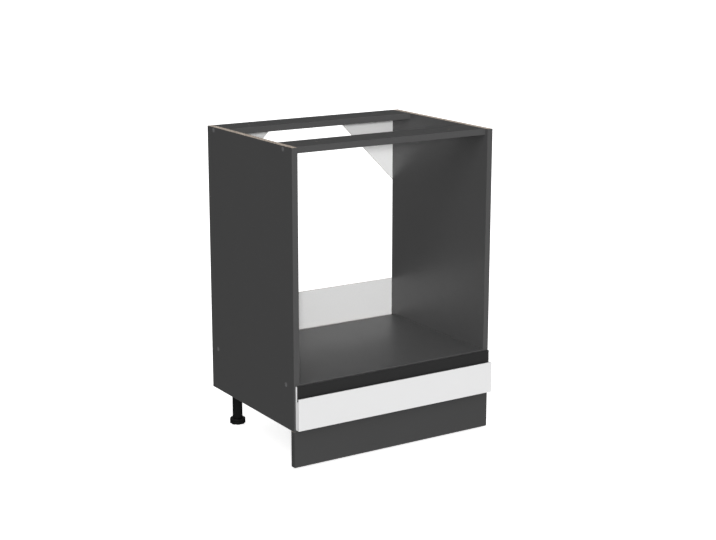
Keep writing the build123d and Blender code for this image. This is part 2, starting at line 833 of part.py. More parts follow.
with BuildPart() as lobed_foot:
    for z in (0, foot_height - ring_height):
        add(foot_ring.part.moved(Location((0, 0, z))))
    rods(Plane.XY.offset(ring_height), [(0, 0)], foot_radius - foot_lobe_depth - foot_waist_inset, foot_waist)
    rods(Plane.XY.offset(foot_height), [(0, 0)], stem_radius + running_clearance,
         foot_floor - foot_height, Mode.SUBTRACT)

for name, point in leg_places.items():
    with BuildPart() as leg_tube:
        rods(Plane.XY.offset(tube_bottom), [point], tube_radius, flange_z - tube_bottom)
        rods(Plane.XY.offset(tube_bottom), [point], stem_radius + running_clearance, tube_nut_height,
             Mode.SUBTRACT)
        rods(Plane.XY.offset(tube_bottom + tube_nut_height), [point], tube_radius - tube_wall,
             flange_z - tube_bottom - tube_nut_height, Mode.SUBTRACT)
    save(leg_tube, f"{name}_leg_tube")

    with BuildPart() as leg_stem:
        rods(Plane.XY.offset(stem_bottom), [point], stem_radius, stem_length)
        chamfer(leg_stem.edges().sort_by(Axis.Z)[-1], length=stem_chamfer)
    save(leg_stem, f"{name}_leg_stem")

    with BuildPart() as leg_foot:
        add(lobed_foot.part.moved(Location((*point, 0))))
    save(leg_foot, f"{name}_leg_foot")

# Plinth board in front of the legs, with forks that clip over the front leg tubes
plinth_back_y = carcass_front + board
clip_z = (plinth_floor_gap + carcass_bottom) / 2
clip_screw_points = [
    (side * leg_x, clip_z + offset * clip_screw_spacing / 2)
    for side in sides.values()
    for offset in (-1, 1)
]
with BuildPart() as plinth_board:
    block(
        (-half_width, half_width),
        (carcass_front, plinth_back_y),
        (plinth_floor_gap, carcass_bottom - plinth_top_gap),
    )
    rods(Plane.XZ.offset(-plinth_back_y), clip_screw_points, clip_screw_radius + seat_clearance,
         clip_screw_length - clip_plate + seat_clearance, Mode.SUBTRACT)
save(plinth_board, "plinth_board")

arm_inner = tube_radius + clip_clearance
for name, side in sides.items():
    with BuildPart() as clip:
        block(
            (side * leg_x - clip_width / 2, side * leg_x + clip_width / 2),
            (plinth_back_y, plinth_back_y + clip_plate),
            (clip_z - clip_height / 2, clip_z + clip_height / 2),
        )
        for arm in (-1, 1):
            block(
                (side * leg_x + arm * arm_inner, side * leg_x + arm * (arm_inner + clip_arm)),
                (plinth_back_y, leg_rows[0] + clip_reach),
                (clip_z - clip_height / 2, clip_z + clip_height / 2),
            )
        rods(Plane.XZ.offset(-plinth_back_y), on_side(clip_screw_points, side),
             clip_screw_radius + seat_clearance, -clip_plate, Mode.SUBTRACT)
    save(clip, f"{name}_plinth_clip")

with BuildPart() as clip_screws:
    seat = Plane.XZ.offset(-plinth_back_y - clip_plate)
    rods(seat, clip_screw_points, clip_screw_head_radius, -clip_screw_head_height)
    rods(seat, clip_screw_points, clip_screw_radius, clip_screw_length)
save(clip_screws, "plinth_clip_screws")

print(f"overall {unit_width:.1f} x {total_depth:.1f} x {carcass_top:.1f}")
print(f"drawer rollers, radius {drawer_roller_radius:.2f} at height {drawer_roller_z:.2f}")
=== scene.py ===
import math

import bmesh
import bpy
from mathutils import Matrix, Vector


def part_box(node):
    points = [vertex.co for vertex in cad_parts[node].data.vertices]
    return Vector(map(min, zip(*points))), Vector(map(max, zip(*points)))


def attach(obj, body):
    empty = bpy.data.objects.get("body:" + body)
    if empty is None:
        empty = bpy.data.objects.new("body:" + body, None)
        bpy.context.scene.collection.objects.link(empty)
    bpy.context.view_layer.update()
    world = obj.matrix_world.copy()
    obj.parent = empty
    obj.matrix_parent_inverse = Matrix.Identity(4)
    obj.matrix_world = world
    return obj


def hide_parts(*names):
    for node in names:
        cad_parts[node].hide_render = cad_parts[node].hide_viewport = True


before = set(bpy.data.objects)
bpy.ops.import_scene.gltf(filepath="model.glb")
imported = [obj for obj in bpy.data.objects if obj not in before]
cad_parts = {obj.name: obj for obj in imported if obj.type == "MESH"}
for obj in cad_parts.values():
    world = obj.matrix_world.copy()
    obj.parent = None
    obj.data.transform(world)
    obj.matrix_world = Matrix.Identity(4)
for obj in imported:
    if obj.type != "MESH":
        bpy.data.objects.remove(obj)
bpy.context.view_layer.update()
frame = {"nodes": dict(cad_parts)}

# Finishes, small detailed pieces, floor, light and camera of the oven housing unit.
# Objects are in metres. Sizes are written in millimetres, and mm turns them into metres.
mm = 0.001
nodes = frame["nodes"]


# Finishes

class Field:
    """A value that varies over a surface. Arithmetic on it adds the nodes that work it out."""

    def __init__(self, nodes, socket):
        self.nodes = nodes
        self.socket = socket

    def math(self, operation, *values):
        return self.nodes.node("ShaderNodeMath", {"operation": operation}, dict(enumerate(values)))

    def __add__(self, other):
        return self.math("ADD", self, other)

    def __radd__(self, other):
        return self.math("ADD", other, self)

    def __sub__(self, other):
        return self.math("SUBTRACT", self, other)

    def __rsub__(self, other):
        return self.math("SUBTRACT", other, self)

    def __mul__(self, other):
        return self.math("MULTIPLY", self, other)

    def __rmul__(self, other):
        return self.math("MULTIPLY", other, self)

    def __gt__(self, other):
        return self.math("GREATER_THAN", self, other)

    def __lt__(self, other):
        return self.math("LESS_THAN", self, other)

    def __abs__(self):
        return self.math("ABSOLUTE", self)


class Nodes:
    """The node tree of a finish or of the studio around the unit."""

    def __init__(self, owner):
        owner.use_nodes = True
        self.tree = owner.node_tree

    def node(self, kind, settings=(), inputs=(), output=0):
        """Add a node: its settings first, then the values or links of its sockets."""
        made = self.tree.nodes.new(kind)
        for setting, value in dict(settings).items():
            if setting == "stops":
                self.set_stops(made.color_ramp, value)
            else:
                setattr(made, setting, value)
        for socket, value in dict(inputs).items():
            if isinstance(value, Field):
                self.tree.links.new(value.socket, made.inputs[socket])
            else:
                made.inputs[socket].default_value = value
        return Field(self, made.outputs[output])

    def set_stops(self, ramp, stops):
        while len(ramp.elements) < len(stops):
            ramp.elements.new(1.0)
        for element, (position, colour) in zip(ramp.elements, stops):
            element.position = position
            element.color = (*colour, 1.0)

    def smooth(self, value, low, high):
        """0 below low, 1 above high, and a soft step between."""
        return self.node("ShaderNodeMapRange", {"interpolation_type": "SMOOTHSTEP"},
                         {"Value": value, "From Min": low, "From Max": high})


class Finish(Nodes):
    """One procedural surface finish on Object coordinates."""

    def __init__(self, name, **constants):
        self.material = bpy.data.materials.new(name)
        super().__init__(self.material)
        self.shader = self.tree.nodes["Principled BSDF"]
        for socket, value in constants.items():
            self.shader.inputs[socket.replace("_", " ")].default_value = value
        self.place = self.node("ShaderNodeTexCoord", output="Object")
        self.x, self.y, self.z = (
            self.node("ShaderNodeSeparateXYZ", {}, {0: self.place}, output=axis) for axis in "XYZ"
        )

    def stretched(self, stretch):
        """Object coordinates, scaled along each axis."""
        return self.node("ShaderNodeVectorMath", {"operation": "MULTIPLY"},
                         {0: self.place, 1: stretch})

    def noise(self, scale, detail=2.0, roughness=0.5, stretch=(1.0, 1.0, 1.0), distortion=0.0):
        values = {"Vector": self.stretched(stretch), "Scale": scale, "Detail": detail,
                  "Roughness": roughness, "Distortion": distortion}
        return self.node("ShaderNodeTexNoise", {}, values)

    def chips(self, scale, stretch):
        """A random number for each chip of a broken-up pattern."""
        values = {"Vector": self.stretched(stretch), "Scale": scale}
        colour = self.node("ShaderNodeTexVoronoi", {}, values, output="Color")
        return self.node("ShaderNodeSeparateXYZ", {}, {0: colour}, output="X")

    def ramp(self, value, *stops):
        return self.node("ShaderNodeValToRGB", {"stops": stops}, {0: value})

    def mix(self, factor, low, high):
        """Colour low where the factor is 0, high where it is 1."""
        low, high = (tone if isinstance(tone, Field) else (*tone, 1.0) for tone in (low, high))
        return self.node("ShaderNodeMix", {"data_type": "RGBA"}, {0: factor, 6: low, 7: high},
                         output=2)

    def shaded(self, factor, colour, spread):
        """A colour that a factor from 0 to 1 makes darker or lighter by a spread."""
        low, high = (tuple(part * (1 + way * spread) for part in colour) for way in (-1, 1))
        return self.mix(factor, low, high)

    def colour(self, value):
        self.feed("Base Color", value)

    def rough(self, value):
        self.feed("Roughness", value)

    def relief(self, height, depth):
        """Bump of a height field from 0 to 1, with its full depth in metres."""
        self.feed("Normal", self.node("ShaderNodeBump", {}, {"Height": height, "Distance": depth}))

    def feed(self, socket, value):
        self.tree.links.new(value.socket, self.shader.inputs[socket])


anthracite = (0.0655, 0.0656, 0.0659)
# A darker copy of the carcass melamine tone for the plinth board: painted shade
plinth_anthracite_painted_shade = (0.0590, 0.0591, 0.0594)
# A lighter copy of the carcass melamine tone for the oven shelf: painted light
shelf_anthracite_painted_light = (0.0740, 0.0741, 0.0744)
anthracite_strip = (0.0815, 0.0816, 0.0819)
front_white = (0.775, 0.775, 0.778)
drawer_white = (0.640, 0.640, 0.630)
lacquer_white = (0.872, 0.872, 0.867)
lining_black = (0.0270, 0.0270, 0.0272)
pit_brown = (0.045, 0.028, 0.016)
chip_tones = ((0.10, (0.230, 0.180, 0.140)), (0.45, (0.430, 0.362, 0.300)),
              (0.80, (0.600, 0.525, 0.450)), (1.0, (0.740, 0.670, 0.590)))
fibre_tones = ((0.2, (0.130, 0.078, 0.042)), (0.5, (0.235, 0.150, 0.088)),
               (0.8, (0.360, 0.250, 0.155)))
beech_tones = ((0.25, (0.400, 0.255, 0.135)), (0.75, (0.620, 0.445, 0.270)))
beech_fleck = (0.270, 0.150, 0.070)
runner_paint = (0.700, 0.700, 0.690)
rubbed_paint = (0.480, 0.480, 0.470)
# How deep the facing of a board goes, before its chips or fibres show
skin = 0.25 * mm


def chipboard(finish, stretch):
    """Colour and relief of sawn chipboard, with its chips lying along the board."""
    chip = finish.chips(420.0, stretch)
    dust = finish.noise(2600.0, 3.0, 0.7)
    tone = finish.ramp(chip * 0.75 + dust * 0.25, *chip_tones)
    pits = finish.smooth(finish.noise(900.0, 2.0, 0.6, stretch), 0.36, 0.42)
    return finish.mix(pits, pit_brown, tone), (chip * 0.4 + dust * 0.3 + pits * 0.3)


def faced_board(node, axis, tone, spread, shine, pearl, bare=None):
    """Melamine-faced chipboard: satin faces, and sawn chips between them where no edging is.

    bare lists the edges that are left raw, as (axis, way, limit); without it all of them are."""
    finish = Finish(f"{node}_melamine", Specular_IOR_Level=0.5)
    lines = {"x": finish.x, "y": finish.y, "z": finish.z}
    low, high = (getattr(corner, axis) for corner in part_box(node))
    core = abs(lines[axis] - (low + high) / 2) < (high - low) / 2 - skin
    if bare is not None:
        raw, *others = [(lines[edge] - limit) * way > -skin for edge, way, limit in bare]
        for other in others:
            raw = raw.math("MAXIMUM", raw, other)
        core = core * raw
    stretch = {"x": (1.6, 0.4, 0.4), "y": (0.4, 1.6, 0.4), "z": (0.4, 0.4, 1.6)}[axis]
    chip_tone, chip_relief = chipboard(finish, stretch)
    grain = finish.noise(pearl, 2.0, 0.6)
    cloud = finish.noise(9.0, 3.0, 0.55)
    face_tone = finish.shaded(grain * 0.6 + cloud * 0.4, tone, spread)
    finish.colour(finish.mix(core, face_tone, chip_tone))
    satin = shine + 0.10 * (grain - 0.5) + 0.06 * (cloud - 0.5)
    finish.rough(satin + core * (0.85 - shine))
    finish.relief(grain * (1 - core) * 0.12 + chip_relief * core, 0.15 * mm)
    return finish.material


def edge_strip():
    """Plastic edging, a shade lighter than the board, with faint scraper marks along it."""
    finish = Finish("anthracite_edging", Specular_IOR_Level=0.5)
    marks = finish.noise(1600.0, 2.0, 0.5, (1.0, 1.0, 0.03))
    grain = finish.noise(1100.0, 2.0, 0.6)
    finish.colour(finish.shaded(marks * 0.5 + grain * 0.5, anthracite_strip, 0.10))
    finish.rough(0.36 + 0.12 * (marks - 0.5))
    finish.relief(grain * 0.5 + marks * 0.5, 0.02 * mm)
    return finish.material


def white_gloss():
    """High-gloss white front: a lacquer film with the faint waviness of a pressed board."""
    finish = Finish("white_gloss_front", Specular_IOR_Level=0.5, Coat_Weight=0.6,
                    Coat_Roughness=0.06)
    wave = finish.noise(34.0, 2.0, 0.4)
    peel = finish.noise(420.0, 2.0, 0.5)
    finish.colour(finish.shaded(wave * 0.7 + peel * 0.3, front_white, 0.012))
    finish.rough(0.17 + 0.06 * peel)
    finish.relief(wave * 0.8 + peel * 0.2, 0.03 * mm)
    return finish.material


def black_lining():
    """Extruded black grip profile, with die lines along its length."""
    finish = Finish("black_grip_lining", Specular_IOR_Level=0.35)
    lines = finish.noise(2400.0, 2.0, 0.5, (0.008, 1.0, 1.0))
    dust = finish.noise(700.0, 3.0, 0.6)
    finish.colour(finish.shaded(lines, lining_black, 0.15))
    finish.rough(0.38 + 0.14 * (lines - 0.5) + 0.06 * (dust - 0.5))
    finish.relief(lines, 0.02 * mm)
    return finish.material


def hardboard(node, axis, way):
    """Thin fibreboard: white lacquer on one face, bare brown fibre on the other and on the edges.

    The lacquered face is the low one along the axis where way is 1, and the high one where it
    is -1."""
    finish = Finish(f"{node}_hardboard", Specular_IOR_Level=0.45)
    place = {"y": finish.y, "z": finish.z}[axis]
    lacquered = getattr(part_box(node)[0 if way > 0 else 1], axis)
    face = (place - lacquered) * way < skin
    fibres = finish.noise(520.0, 4.0, 0.7, (1.0, 1.0, 0.25))
    speckle = finish.noise(1900.0, 2.0, 0.7)
    film = finish.noise(260.0, 2.0, 0.5)
    bare = finish.ramp(fibres * 0.7 + speckle * 0.3, *fibre_tones)
    finish.colour(finish.mix(face, bare, finish.shaded(film, lacquer_white, 0.03)))
    finish.rough(0.80 - face * 0.38 + 0.10 * (film - 0.5))
    finish.relief(film * face * 0.3 + (fibres * 0.6 + speckle * 0.4) * (1 - face), 0.08 * mm)
    return finish.material


def moulded(name, tone, shine, texture, spread=0.12, **constants):
    """Moulded plastic or rubber with a fine spark-eroded texture."""
    finish = Finish(name, **constants)
    grain = finish.noise(texture, 2.0, 0.6)
    flow = finish.noise(90.0, 3.0, 0.5)
    finish.colour(finish.shaded(grain * 0.5 + flow * 0.5, tone, spread))
    finish.rough(shine + 0.12 * (grain - 0.5) + 0.10 * (flow - 0.5))
    finish.relief(grain, 0.03 * mm)
    return finish.material


def plated(name, tone, tint, shine, texture, depth):
    """Zinc-plated or die-cast metal with a clouded tint."""
    finish = Finish(name, Metallic=0.6)
    cloud = finish.noise(160.0, 3.0, 0.6, distortion=0.6)
    grain = finish.noise(texture, 3.0, 0.6)
    finish.colour(finish.mix(cloud * 0.7 + grain * 0.3, tone, tint))
    finish.rough(shine + 0.22 * (cloud - 0.5) + 0.14 * (grain - 0.5))
    finish.relief(grain, depth)
    return finish.material


def powder_coat():
    """Powder-coated runner steel: a fine orange peel with a few darker rub marks."""
    finish = Finish("runner_powder_coat", Specular_IOR_Level=0.5)
    peel = finish.noise(760.0, 2.0, 0.5)
    rub = finish.smooth(finish.noise(60.0, 4.0, 0.7, (1.0, 0.15, 1.0)), 0.58, 0.72)
    finish.colour(finish.mix(rub * 0.35, runner_paint, rubbed_paint))
    finish.rough(0.34 + 0.08 * peel + 0.15 * rub)
    finish.relief(peel, 0.05 * mm)
    return finish.material


def beech_wood():
    """Rolled beech dowel: grain along X, short darker flecks."""
    finish = Finish("beech_dowel", Specular_IOR_Level=0.4)
    grain = finish.noise(900.0, 3.0, 0.6, (0.06, 1.0, 1.0))
    flecks = finish.smooth(finish.noise(1500.0, 1.0, 0.5, (0.12, 1.0, 1.0)), 0.62, 0.70)
    finish.colour(finish.mix(flecks, finish.ramp(grain, *beech_tones), beech_fleck))
    finish.rough(0.62 + 0.12 * (grain - 0.5))
    finish.relief(grain * 0.7 + flecks * 0.3, 0.08 * mm)
    return finish.material


leg_finish = moulded("leg_black_plastic", (0.0085, 0.0085, 0.0088), 0.38, 2200.0, 0.2,
                     Specular_IOR_Level=0.45)
cap_finish = moulded("cap_grey_plastic", (0.130, 0.131, 0.134), 0.36, 1800.0)
nylon_finish = moulded("roller_nylon", (0.700, 0.700, 0.672), 0.34, 1300.0, 0.04,
                       Subsurface_Weight=0.12, Subsurface_Radius=(0.002, 0.002, 0.0018))
rubber_finish = moulded("bumper_soft_rubber", (0.460, 0.460, 0.455), 0.50, 1500.0, 0.06,
                        Subsurface_Weight=0.15, Subsurface_Radius=(0.002, 0.002, 0.002))
screw_finish = plated("zinc_plated_steel", (0.600, 0.592, 0.575), (0.500, 0.500, 0.515), 0.30,
                      1700.0, 0.01 * mm)
cam_finish = plated("die_cast_zinc", (0.430, 0.430, 0.440), (0.340, 0.340, 0.345), 0.46,
                    900.0, 0.05 * mm)
runner_finish = powder_coat()


# Ways to shape a piece

full_turn = 2 * math.pi
weld = 0.001 * mm
soft_edge = math.radians(32.0)


def size_of(box):
    """Size of a box, in millimetres."""
    return (box[1] - box[0]) / mm


def middle_of(box):
    return (box[0] + box[1]) / 2


def solids(node):
    """Lowest and highest corner of each separate solid of a CAD node, from left to right."""
    shape = bmesh.new()
    shape.from_mesh(nodes[node].data)
    bmesh.ops.remove_doubles(shape, verts=shape.verts, dist=weld)
    left, boxes = set(shape.verts), []
    while left:
        reached = [left.pop()]
        for vert in reached:
            for edge in vert.link_edges:
                other = edge.other_vert(vert)
                if other in left:
                    left.remove(other)
                    reached.append(other)
        boxes.append([Vector(pick(vert.co[axis] for vert in reached) for axis in range(3))
                      for pick in (min, max)])
    shape.free()
    return sorted(boxes, key=lambda box: tuple(box[0]))


def at(place, direction=(0.0, 0.0, 1.0), spin=0.0):
    """A matrix that turns a shape's Z to a direction and moves its origin to a place."""
    turn = Vector(direction).to_track_quat("Z", "Y").to_matrix().to_4x4()
    return Matrix.Translation(place) @ turn @ Matrix.Rotation(spin, 4, "Z")


def standing(node):
    """The place of a shape that stands on the middle of a node's underside."""
    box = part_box(node)
    return at((*middle_of(box).xy, box[0].z))


def facing_sideways(node, inwards=False):
    """Places at the outer ends of a node's solids, facing outwards, or at the inner ends."""
    places = []
    for box in solids(node):
        way = 1 if (box[1].x > 0) != inwards else -1
        end = box[1].x if way > 0 else box[0].x
        places.append(at((end, *middle_of(box).yz), (way, 0, 0)))
    return places


def facing_rear(node, end):
    """Places at the front ends (0) or rear ends (1) of a node's solids, facing the rear."""
    return [at((middle_of(box).x, box[end].y, middle_of(box).z), (0, 1, 0))
            for box in solids(node)]


def turned(profile, steps=64):
    """A solid turned about Z from (radius, height) points in millimetres.

    A profile that starts on the axis also ends there; any other is the section of a ring."""
    shape = bmesh.new()
    points = [shape.verts.new((radius * mm, 0.0, height * mm)) for radius, height in profile]
    ends = points[1:] if profile[0][0] == 0 else points[1:] + points[:1]
    lines = [shape.edges.new(pair) for pair in zip(points, ends)]
    bmesh.ops.spin(shape, geom=points + lines, cent=(0, 0, 0), axis=(0, 0, 1), dvec=(0, 0, 0),
                   angle=full_turn, steps=steps, use_merge=True, use_duplicate=False)
    bmesh.ops.remove_doubles(shape, verts=shape.verts, dist=weld)
    return shape


def rim_at(shape, height):
    """The open edges of a shape at a height in millimetres."""
    return [edge for edge in shape.edges if edge.is_boundary
            and all(abs(vert.co.z - height * mm) < weld for vert in edge.verts)]


def threaded(root, crest, pitch, bottom, top, steps):
    """A rod about Z with a helical thread, cut square at both ends. Millimetres."""
    shape = bmesh.new()
    tooth = ((root, 0.0), (root, 0.22), (crest, 0.50), (crest, 0.62), (root, 0.90), (root, 1.0))
    points = [shape.verts.new((radius * mm, 0.0, (bottom + (part - 1) * pitch) * mm))
              for radius, part in tooth]
    lines = [shape.edges.new(pair) for pair in zip(points, points[1:])]
    turns = math.ceil((top - bottom) / pitch) + 2
    bmesh.ops.spin(shape, geom=points + lines, cent=(0, 0, 0), axis=(0, 0, 1),
                   dvec=(0, 0, pitch * mm / steps), angle=full_turn * turns,
                   steps=steps * turns, use_merge=False, use_duplicate=False)
    bmesh.ops.remove_doubles(shape, verts=shape.verts, dist=weld)
    for height, way in ((bottom, -1), (top, 1)):
        everything = shape.verts[:] + shape.edges[:] + shape.faces[:]
        bmesh.ops.bisect_plane(shape, geom=everything, dist=0.1 * weld,
                               plane_co=(0, 0, height * mm), plane_no=(0, 0, way),
                               clear_outer=True)
        bmesh.ops.holes_fill(shape, edges=rim_at(shape, height), sides=0)
    return shape


def lofted(levels, segments=96):
    """A closed shape of outlines about Z.

    Each level has a height and a radius, which may be a function of the angle. Millimetres."""
    shape = bmesh.new()
    bmesh.ops.create_circle(shape, cap_ends=False, segments=segments, radius=1.0)
    start, rim = shape.verts[:], shape.edges[:]
    for height, outline in levels:
        made = bmesh.ops.extrude_edge_only(shape, edges=rim)["geom"]
        rim = [item for item in made if isinstance(item, bmesh.types.BMEdge)]
        for vert in {vert for edge in rim for vert in edge.verts}:
            angle = math.atan2(vert.co.y, vert.co.x)
            radius = outline(angle) if callable(outline) else outline
            place = Vector((radius * math.cos(angle), radius * math.sin(angle), height))
            vert.co = place * mm
    bmesh.ops.delete(shape, geom=start, context="VERTS")
    for height in (levels[0][0], levels[-1][0]):
        bmesh.ops.edgeloop_fill(shape, edges=rim_at(shape, height))
    return shape


def block(size, rounding, centre, segments):
    """A block with rounded edges. Millimetres."""
    shape = bmesh.new()
    bmesh.ops.create_cube(shape, size=1.0)
    bmesh.ops.scale(shape, vec=Vector(size) * mm, verts=shape.verts)
    bmesh.ops.bevel(shape, geom=shape.edges[:], offset=rounding * mm, segments=segments,
                    profile=0.5, affect="EDGES", material=-1, clamp_overlap=True)
    bmesh.ops.translate(shape, vec=Vector(centre) * mm, verts=shape.verts)
    return shape


def pushed(shape, grown, shift):
    """Move what an extrusion has grown by a shift in millimetres."""
    bmesh.ops.translate(shape, vec=tuple(part * mm for part in shift),
                        verts=[item for item in grown["geom"]
                               if isinstance(item, bmesh.types.BMVert)])


def slab(corners, shift):
    """A flat slab: the corners of one face, and the shift to the other. Millimetres."""
    shape = bmesh.new()
    face = shape.faces.new([shape.verts.new(Vector(corner) * mm) for corner in corners])
    pushed(shape, bmesh.ops.extrude_face_region(shape, geom=[face]), shift)
    return shape


def joined(*shapes):
    """Several shapes in one, each still closed in itself."""
    whole = bmesh.new()
    for shape in shapes:
        data = bpy.data.meshes.new("part")
        shape.to_mesh(data)
        shape.free()
        whole.from_mesh(data)
        bpy.data.meshes.remove(data)
    return whole


def temporary(shape):
    """An object made of a shape, for a modifier to work on or with."""
    bmesh.ops.recalc_face_normals(shape, faces=shape.faces)
    data = bpy.data.meshes.new("part")
    shape.to_mesh(data)
    shape.free()
    part = bpy.data.objects.new("part", data)
    bpy.context.scene.collection.objects.link(part)
    return part


def modified(shape, kind, **settings):
    """A shape after one modifier."""
    part = temporary(shape)
    modifier = part.modifiers.new("step", kind)
    for setting, value in settings.items():
        setattr(modifier, setting, value)
    bpy.context.view_layer.update()
    graph = bpy.context.evaluated_depsgraph_get()
    result = bpy.data.meshes.new_from_object(part.evaluated_get(graph))
    whole = bmesh.new()
    whole.from_mesh(result)
    bmesh.ops.dissolve_degenerate(whole, edges=whole.edges, dist=weld)
    for data in (part.data, result):
        bpy.data.meshes.remove(data)
    return whole


def carved(shape, *cutters, operation="DIFFERENCE"):
    """A shape with the room of each cutter taken out of it, or with the shapes grown together."""
    for cutter in cutters:
        tool = temporary(cutter)
        shape = modified(shape, "BOOLEAN", operation=operation, solver="EXACT", object=tool)
        bpy.data.meshes.remove(tool.data)
    return shape


def drill(radius, reach, place):
    """A round cutter about its own Z, from -reach to reach. Millimetres."""
    shape = bmesh.new()
    bmesh.ops.create_cone(shape, cap_ends=True, segments=40, radius1=radius * mm,
                          radius2=radius * mm, depth=2 * reach * mm)
    bmesh.ops.transform(shape, matrix=place, verts=shape.verts)
    return shape


def drills(node, side_x, axis, level, radius, reach):
    """Cutters for a node's screws or pins on the side of the unit where side_x lies.

    They lie along an axis (0 is X) and have their middle at a level of it. Millimetres."""
    direction = [0, 0, 0]
    direction[axis] = 1
    cutters = []
    for box in solids(node):
        place = middle_of(box) / mm
        if place.x * side_x > 0:
            place[axis] = level
            cutters.append(drill(radius, reach, at(place * mm, direction)))
    return cutters


def bent_sheet(line, span, fold, thickness):
    """A sheet of steel along Y that follows (x, z) points, its folds rounded. Millimetres."""
    shape = bmesh.new()
    points = [shape.verts.new((x * mm, span[0] * mm, z * mm)) for x, z in line]
    edges = [shape.edges.new(pair) for pair in zip(points, points[1:])]
    pushed(shape, bmesh.ops.extrude_edge_only(shape, edges=edges), (0, span[1] - span[0], 0))
    folds = [edge for edge in shape.edges if len(edge.link_faces) == 2]
    bmesh.ops.bevel(shape, geom=folds, offset=fold * mm, segments=4, profile=0.5,
                    affect="EDGES", material=-1, clamp_overlap=True)
    return modified(shape, "SOLIDIFY", thickness=thickness * mm, offset=0.0,
                    use_even_offset=True)


def piece(name, shape, places, body, finish, slot, *replaced):
    """Put copies of a shape at places, as one piece that rides on a body, for CAD nodes."""
    pattern = bpy.data.meshes.new("pattern")
    bmesh.ops.recalc_face_normals(shape, faces=shape.faces)
    shape.to_mesh(pattern)
    shape.free()
    whole = bmesh.new()
    for place in places:
        copy = pattern.copy()
        copy.transform(place)
        whole.from_mesh(copy)
        bpy.data.meshes.remove(copy)
    bpy.data.meshes.remove(pattern)
    for face in whole.faces:
        face.smooth = True
    for edge in whole.edges:
        edge.smooth = edge.calc_face_angle(0.0) < soft_edge
    data = bpy.data.meshes.new(name)
    whole.to_mesh(data)
    whole.free()
    data.materials.append(finish)
    made = bpy.data.objects.new(name, data)
    bpy.context.scene.collection.objects.link(made)
    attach(made, body)
    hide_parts(*replaced)


# Modelled pieces

legs = ("front_left", "front_right", "rear_left", "rear_right")
sides = ("left", "right")

# Cover caps: a disc with a rounded rim, a fine moulded ring and the peg behind it
cap_radius, cap_thickness, peg_radius, peg_end = 6.0, 1.2, 2.05, 2.4
cap = turned([(0, -0.10), (2.7, -0.10), (2.9, -0.02), (3.2, 0), (cap_radius - 0.65, 0),
              (cap_radius - 0.2, -0.14), (cap_radius, -0.5), (cap_radius, -cap_thickness),
              (peg_radius, -cap_thickness), (peg_radius - 0.25, -peg_end), (0, -peg_end)])
piece("cover_caps", cap, facing_sideways("screw_caps"), "carcass", cap_finish, "cap_grey",
      "screw_caps")

# Feet: two lobed rings with rounded rims and a groove between them, hollow for the stem
foot_radius, foot_lobes, scallop_radius, lobe_depth = 21.0, 8, 5.0, 2.0
foot_top, ring_height, rim_round = 15.0, 7.0, 1.5
groove_radius, groove_step = 16.4, 0.3
hollow_radius, hollow_depth, sole_radius = 12.0, 0.8, 16.0
bore_radius, bore_floor = 8.05, 3.0


def lobed(inset):
    """Outline of a foot's ring, moved inwards by an inset in millimetres."""
    lobe = full_turn / foot_lobes
    reach = foot_radius + scallop_radius - lobe_depth
    bite = scallop_radius + inset

    def outline(angle):
        off = (angle + lobe / 2) % lobe - lobe / 2
        across = reach * math.sin(off)
        if abs(across) >= bite:
            return foot_radius - inset
        scallop = reach * math.cos(off) - math.sqrt(bite ** 2 - across ** 2)
        return min(foot_radius - inset, scallop)

    return outline


rim_steps = [(rim_round * (1 - math.cos(angle)), rim_round * (1 - math.sin(angle)))
             for angle in (math.radians(22.5 * step) for step in range(5))]
levels = [(hollow_depth, hollow_radius), (hollow_depth, sole_radius - 0.8),
          (0.5, sole_radius - 0.4), (0.0, sole_radius)]
for ring_bottom in (0.0, foot_top - ring_height):
    if ring_bottom:
        levels += [(ring_height + groove_step, groove_radius),
                   (ring_bottom - groove_step, groove_radius)]
    levels += [(ring_bottom + rise, lobed(inset)) for rise, inset in rim_steps]
    levels += [(ring_bottom + ring_height - rise, lobed(inset))
               for rise, inset in reversed(rim_steps)]
levels += [(foot_top, bore_radius + 1.15), (foot_top - 0.25, bore_radius + 0.45),
           (foot_top - 0.8, bore_radius), (bore_floor, bore_radius)]
for leg in legs:
    node = f"{leg}_leg_foot"
    piece(f"{leg}_lobed_foot", lofted(levels), [standing(node)], f"{leg}_foot", leg_finish,
          "leg_black", node)

# Stems: a coarse moulded thread
stem_root, stem_crest, stem_pitch, stem_steps = 6.9, 8.0, 3.0, 32
for leg in legs:
    node = f"{leg}_leg_stem"
    stem = threaded(stem_root, stem_crest, stem_pitch, 0.0, size_of(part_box(node)).z, stem_steps)
    piece(f"{leg}_threaded_stem", stem, [standing(node)], f"{leg}_stem", leg_finish,
          "leg_black", node)

# Leg tubes: rounded lips, a thick nut at the foot end and a thin wall above it
nut_bore, nut_height, tube_wall = 8.05, 14.0, 2.5
for leg in legs:
    node = f"{leg}_leg_tube"
    size = size_of(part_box(node))
    top, outer = size.z, size.x / 2
    inner = outer - tube_wall
    tube = turned([(nut_bore, 0.6), (nut_bore + 0.55, 0), (outer - 0.9, 0), (outer - 0.25, 0.3),
                   (outer, 0.9), (outer, nut_height - 0.4), (outer - 0.3, nut_height - 0.1),
                   (outer - 0.3, nut_height + 0.5), (outer, nut_height + 0.8),
                   (outer, top - 0.6), (outer - 0.5, top), (inner + 0.3, top),
                   (inner, top - 0.4), (inner, nut_height + 0.6), (inner - 0.6, nut_height),
                   (nut_bore, nut_height)])
    piece(f"{leg}_moulded_tube", tube, [standing(node)], "carcass", leg_finish, "leg_black", node)

